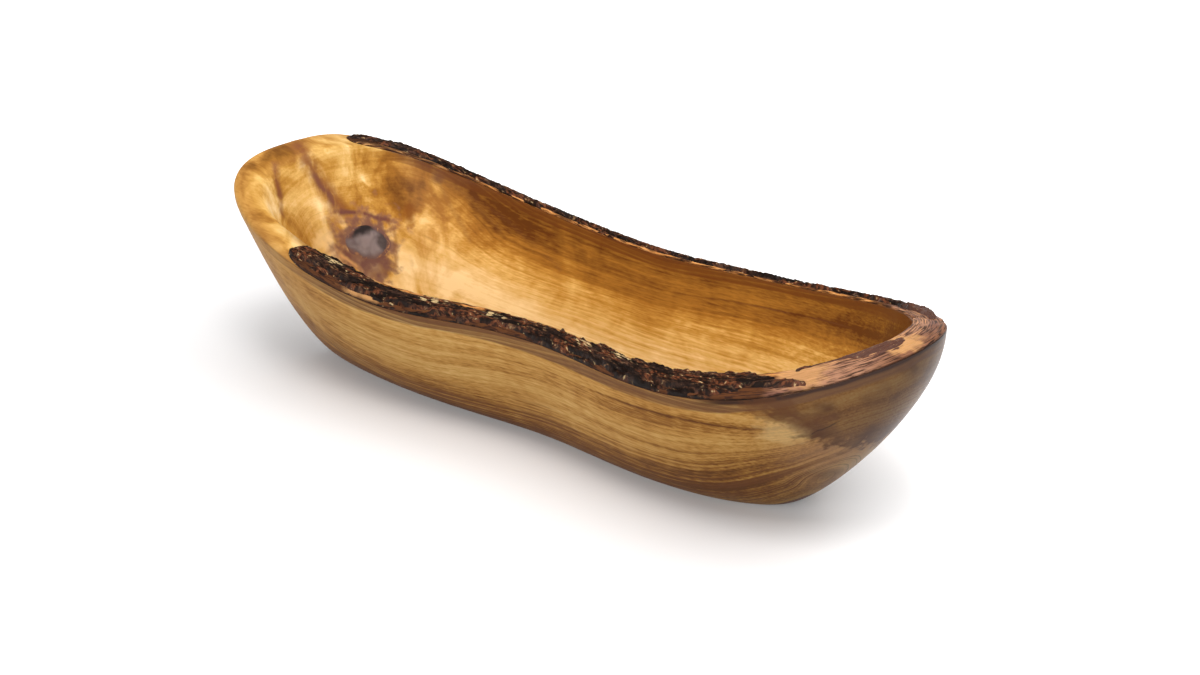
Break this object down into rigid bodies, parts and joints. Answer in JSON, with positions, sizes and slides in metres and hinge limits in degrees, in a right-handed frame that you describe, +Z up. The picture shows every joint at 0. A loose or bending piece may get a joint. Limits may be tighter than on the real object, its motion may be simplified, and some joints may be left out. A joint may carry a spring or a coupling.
{
  "type": "natural-edge wooden bowl",
  "caption": "Long boat-shaped serving bowl carved from half an olive log, with bark kept along both long rims, a bare rounded end and a flat foot to stand on.",
  "frame": {"origin": "centre of the bowl's box in plan, on the surface that the foot stands on", "axes": "+X along the bowl towards its bark-covered right end, +Y towards the rear rim, +Z up"},
  "size_m": [0.4002, 0.1296, 0.1011],
  "materials": {
    "bowl_wood": "oiled olive wood, satin to glossy",
    "knot_wood": "dark dead knot, oiled",
    "inner_bark": "reddish inner bark, matt",
    "outer_bark": "rough dark outer bark"
  },
  "bodies": {
    "root": {"carved_bowl": "bowl_wood", "knot": "knot_wood", "front_inner_bark": "inner_bark", "front_outer_bark": "outer_bark", "rear_inner_bark": "inner_bark", "rear_outer_bark": "outer_bark", "right_end_inner_bark": "inner_bark", "right_end_outer_bark": "outer_bark"}
  },
  "joints": []
}
